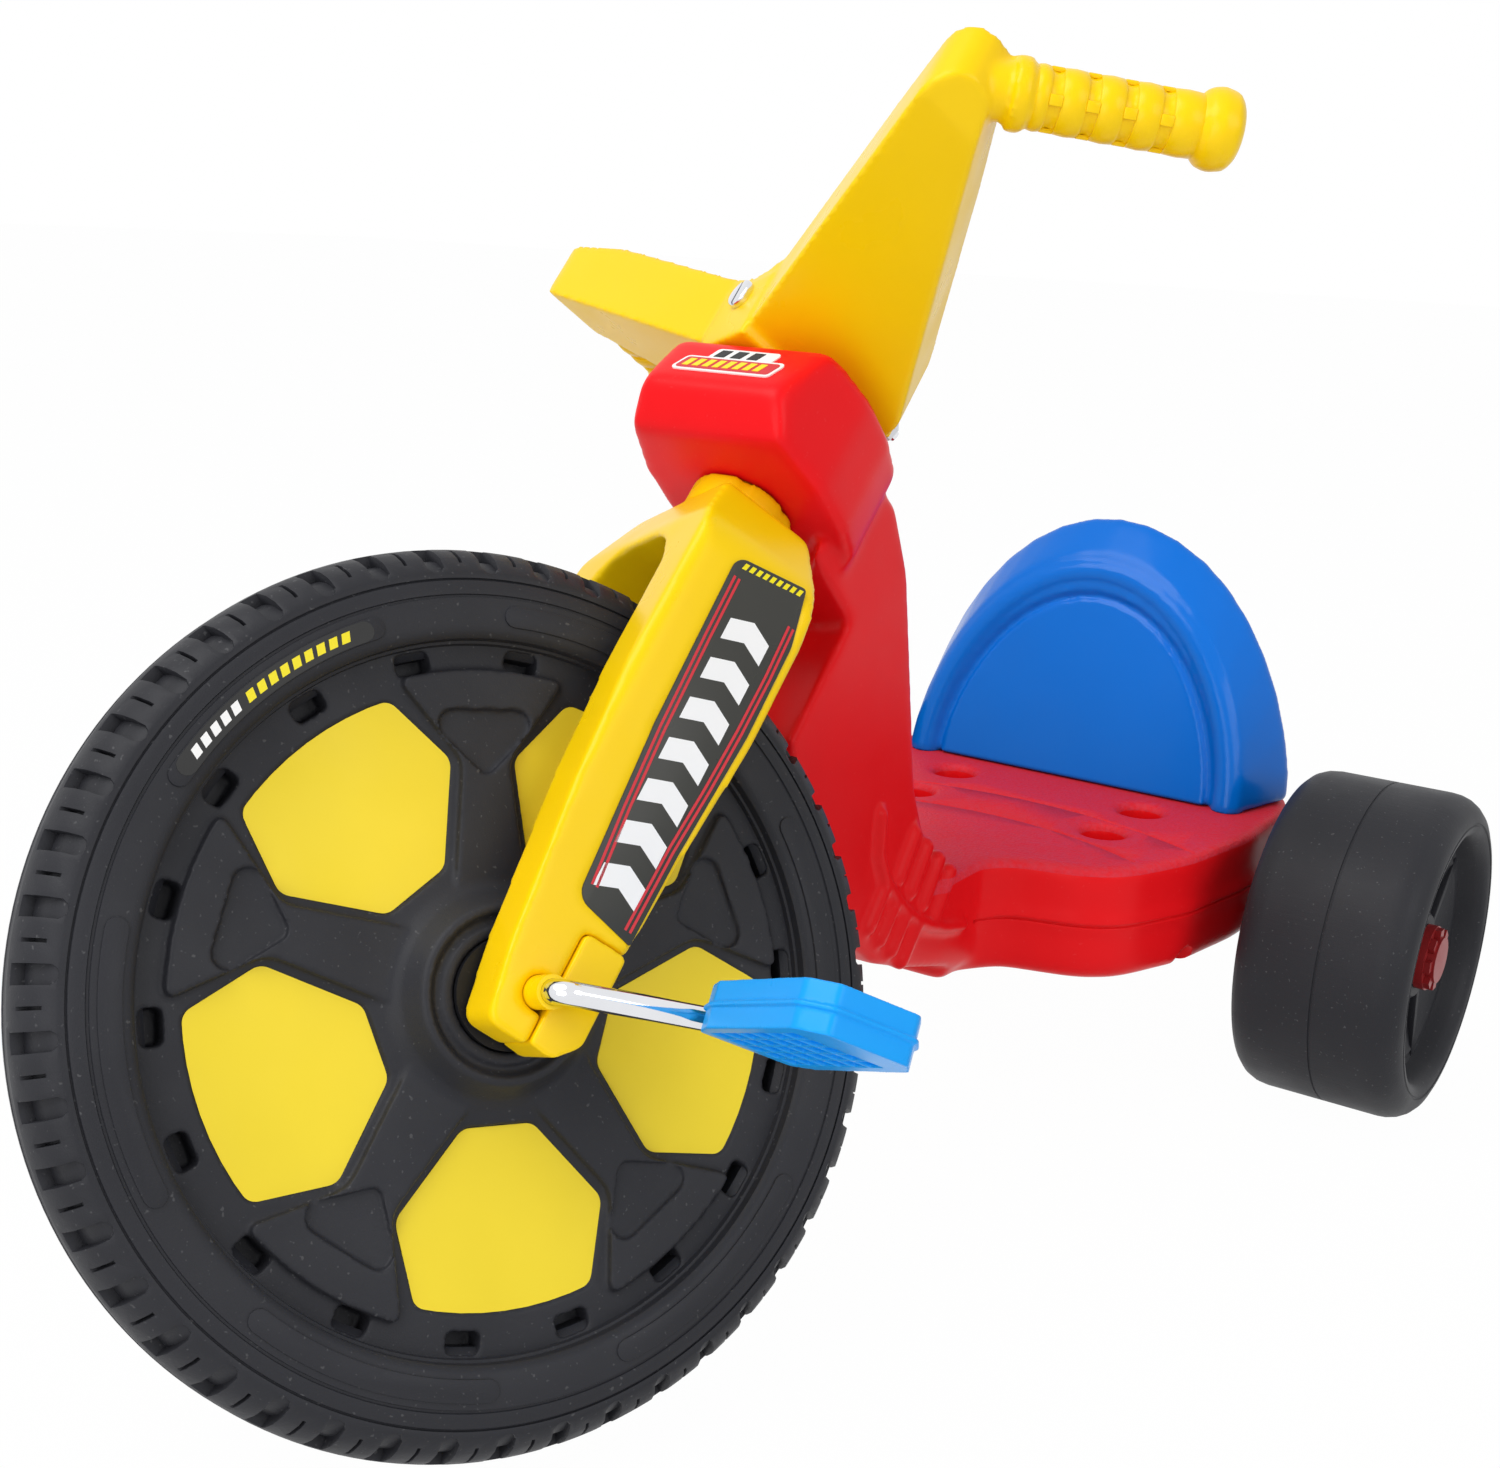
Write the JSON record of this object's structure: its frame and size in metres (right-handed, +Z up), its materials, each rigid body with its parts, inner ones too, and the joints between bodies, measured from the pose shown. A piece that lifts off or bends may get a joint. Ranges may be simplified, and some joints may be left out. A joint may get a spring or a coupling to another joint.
{
  "type": "low rider tricycle",
  "caption": "Child's low-slung pedal tricycle with a large front wheel, raked fork, swept handlebar, moulded seat pan and wide rear wheels.",
  "frame": {"origin": "on the ground, at the middle of the bounding box in X and Y", "axes": "+X to the rider's left, +Y backwards from the front wheel to the seat, +Z up; the front wheel is steered to the rider's right at rest, as in the picture"},
  "size_m": [0.5598, 0.9076, 0.6217],
  "materials": {
    "red_shell": "semi-gloss",
    "yellow_moulding": "semi-gloss",
    "yellow_panel": "satin",
    "blue_moulding": "semi-gloss",
    "pedal_blue": "semi-gloss",
    "black_wheel": "satin",
    "bush_black": "satin",
    "dark_panel": "satin",
    "cap_red": "semi-gloss",
    "crank_steel": "polished",
    "axle_steel": "plain"
  },
  "bodies": {
    "frame": {"body_shell": "red_shell", "rear_axle": "axle_steel", "axle_cap_left": "cap_red", "axle_cap_right": "cap_red"},
    "seat": {"seat_back": "blue_moulding"},
    "steering": {"fork": "yellow_moulding", "keeper_left": "yellow_moulding", "keeper_right": "yellow_moulding", "crank_sleeve_left": "yellow_moulding", "crank_sleeve_right": "yellow_moulding", "side_panel_left": "dark_panel", "side_panel_right": "dark_panel", "handlebar": "yellow_moulding", "bar_bolt": "axle_steel", "bar_nut": "axle_steel"},
    "wheel": {"front_wheel": "black_wheel", "disc_panels_left": "yellow_panel", "disc_panels_right": "yellow_panel", "hub_bush_left": "bush_black", "hub_bush_right": "bush_black", "crank": "crank_steel", "pin_cap_left": "axle_steel", "pin_cap_right": "axle_steel"},
    "pedal_l": {"pedal_left": "pedal_blue"},
    "pedal_r": {"pedal_right": "pedal_blue"},
    "rear_l": {"rear_wheel_left": "black_wheel", "rear_bush_left": "bush_black"},
    "rear_r": {"rear_wheel_right": "black_wheel", "rear_bush_right": "bush_black"}
  },
  "joints": [
    {"name": "steering", "type": "hinge", "parent": "frame", "child": "steering", "pos_m": [0, -0.19264, 0.26293], "axis": [0, 0.6822, 0.7311], "range_deg": [-13, 77]},
    {"name": "wheel_spin", "type": "hinge", "parent": "steering", "child": "wheel", "pos_m": [-0.00212, -0.26335, 0.19213], "axis": [0.848, -0.3874, 0.3615], "continuous": true},
    {"name": "pedal_left_spin", "type": "hinge", "parent": "wheel", "child": "pedal_l", "pos_m": [0.12558, -0.23091, 0.20256], "axis": [0.848, -0.3874, 0.3615], "continuous": true},
    {"name": "pedal_right_spin", "type": "hinge", "parent": "wheel", "child": "pedal_r", "pos_m": [-0.12982, -0.29579, 0.1817], "axis": [0.848, -0.3874, 0.3615], "continuous": true},
    {"name": "rear_left_spin", "type": "hinge", "parent": "frame", "child": "rear_l", "pos_m": [0.2, 0.34778, 0.106], "axis": [1, 0, 0], "continuous": true},
    {"name": "rear_right_spin", "type": "hinge", "parent": "frame", "child": "rear_r", "pos_m": [-0.2, 0.34778, 0.106], "axis": [1, 0, 0], "continuous": true},
    {"name": "seat_lift", "type": "slide", "parent": "frame", "child": "seat", "axis": [0, -0.0171, 0.9999], "range_m": [0, 0.05]}
  ]
}
